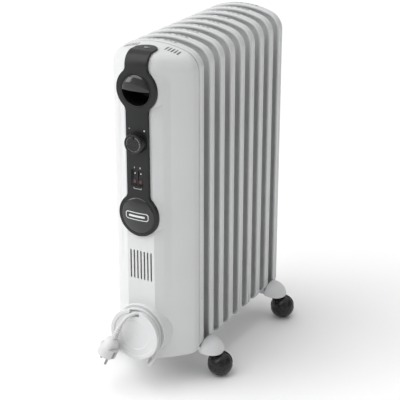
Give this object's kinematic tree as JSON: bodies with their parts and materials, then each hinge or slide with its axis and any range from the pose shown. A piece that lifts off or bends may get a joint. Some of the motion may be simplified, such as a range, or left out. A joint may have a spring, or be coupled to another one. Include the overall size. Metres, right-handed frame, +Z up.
{
  "type": "oil filled radiator heater",
  "caption": "Upright oil filled radiator: a row of white steel fins, a control housing with dial and rockers, front cord storage, ball castors under quarter-dome hoods.",
  "frame": {"origin": "on the floor, under the middle of the heater's footprint, measured without the cord and plug", "axes": "+Z up; the fins stack along Y and the controls face -Y; X runs across the fins, with +X on the right of someone who faces the heater's rear"},
  "size_m": [0.2708, 0.4813, 0.663],
  "materials": {
    "fin_paint": "semi-gloss white powder coat",
    "header_steel": "semi-gloss white paint",
    "bare_steel": "plain rolled sheet",
    "element_sheath": "copper tube",
    "white_plastic": "satin white moulding",
    "dark_plastic": "satin anthracite moulding",
    "gloss_black": "gloss black",
    "badge_silver": "silver print",
    "rocker_black": "semi-gloss black",
    "cream_nylon": "cream nylon",
    "cord_white": "soft white vinyl",
    "pin_nickel": "nickel plate",
    "castor_black": "semi-gloss black nylon",
    "zinc_steel": "bright zinc plate"
  },
  "bodies": {
    "heater": {"badge_bar": "badge_silver", "badge_disc": "gloss_black", "castor_bracket_front": "zinc_steel", "castor_bracket_rear": "zinc_steel", "castor_hood_front_left": "white_plastic", "castor_hood_front_right": "white_plastic", "castor_hood_rear_left": "white_plastic", "castor_hood_rear_right": "white_plastic", "control_bracket": "bare_steel", "control_strip": "dark_plastic", "cord_coil": "cord_white", "cord_gland": "cord_white", "cord_loop": "cord_white", "cord_spool": "white_plastic", "cord_tail": "cord_white", "element_flange": "bare_steel", "fin_1": "fin_paint", "fin_2": "fin_paint", "fin_3": "fin_paint", "fin_4": "fin_paint", "fin_5": "fin_paint", "fin_6": "fin_paint", "fin_7": "fin_paint", "fin_8": "fin_paint", "fin_9": "fin_paint", "handle_cup": "dark_plastic", "handle_grip": "gloss_black", "heat_shield": "bare_steel", "heating_element": "element_sheath", "housing": "white_plastic", "lower_oil_header": "header_steel", "plug_body": "cord_white", "plug_pin_1": "pin_nickel", "plug_pin_2": "pin_nickel", "switch_body": "rocker_black", "terminal_block": "cream_nylon", "thermal_cutout": "gloss_black", "thermostat_body": "cream_nylon", "u_bolt_front": "zinc_steel", "u_bolt_rear": "zinc_steel", "upper_header_plug": "header_steel", "upper_oil_header": "header_steel", "wing_nut_front_1": "zinc_steel", "wing_nut_front_2": "zinc_steel", "wing_nut_rear_1": "zinc_steel", "wing_nut_rear_2": "zinc_steel"},
    "knob": {"thermostat_knob": "dark_plastic", "thermostat_shaft": "bare_steel"},
    "rocker_left": {"rocker_left": "rocker_black"},
    "rocker_right": {"rocker_right": "rocker_black"},
    "swivel_front_left": {"castor_swivel_front_left": "castor_black"},
    "wheel_front_left": {"castor_wheel_front_left": "castor_black"},
    "swivel_front_right": {"castor_swivel_front_right": "castor_black"},
    "wheel_front_right": {"castor_wheel_front_right": "castor_black"},
    "swivel_rear_left": {"castor_swivel_rear_left": "castor_black"},
    "wheel_rear_left": {"castor_wheel_rear_left": "castor_black"},
    "swivel_rear_right": {"castor_swivel_rear_right": "castor_black"},
    "wheel_rear_right": {"castor_wheel_rear_right": "castor_black"}
  },
  "joints": [
    {"name": "knob_turn", "type": "hinge", "parent": "heater", "child": "knob", "pos_m": [0, -0.2032, 0.495], "axis": [0, -1, 0], "range_deg": [-150, 120]},
    {"name": "rocker_left_press", "type": "hinge", "parent": "heater", "child": "rocker_left", "pos_m": [-0.006, -0.1922, 0.4274], "axis": [1, 0, 0], "range_deg": [0, 12]},
    {"name": "rocker_right_press", "type": "hinge", "parent": "heater", "child": "rocker_right", "pos_m": [0.006, -0.1922, 0.4274], "axis": [1, 0, 0], "range_deg": [0, 12]},
    {"name": "swivel_front_left_turn", "type": "hinge", "parent": "heater", "child": "swivel_front_left", "pos_m": [-0.0953, -0.09205, 0.054], "axis": [0, 0, 1], "continuous": true},
    {"name": "wheel_front_left_roll", "type": "hinge", "parent": "swivel_front_left", "child": "wheel_front_left", "pos_m": [-0.11045, -0.08433, 0.02441], "axis": [-0.454, -0.891, 0], "continuous": true},
    {"name": "swivel_front_right_turn", "type": "hinge", "parent": "heater", "child": "swivel_front_right", "pos_m": [0.0953, -0.09205, 0.054], "axis": [0, 0, 1], "continuous": true},
    {"name": "wheel_front_right_roll", "type": "hinge", "parent": "swivel_front_right", "child": "wheel_front_right", "pos_m": [0.11045, -0.08433, 0.02441], "axis": [-0.454, 0.891, 0], "continuous": true},
    {"name": "swivel_rear_left_turn", "type": "hinge", "parent": "heater", "child": "swivel_rear_left", "pos_m": [-0.0953, 0.18795, 0.054], "axis": [0, 0, 1], "continuous": true},
    {"name": "wheel_rear_left_roll", "type": "hinge", "parent": "swivel_rear_left", "child": "wheel_rear_left", "pos_m": [-0.11045, 0.19567, 0.02441], "axis": [-0.454, -0.891, 0], "continuous": true},
    {"name": "swivel_rear_right_turn", "type": "hinge", "parent": "heater", "child": "swivel_rear_right", "pos_m": [0.0953, 0.18795, 0.054], "axis": [0, 0, 1], "continuous": true},
    {"name": "wheel_rear_right_roll", "type": "hinge", "parent": "swivel_rear_right", "child": "wheel_rear_right", "pos_m": [0.11045, 0.19567, 0.02441], "axis": [-0.454, 0.891, 0], "continuous": true}
  ]
}
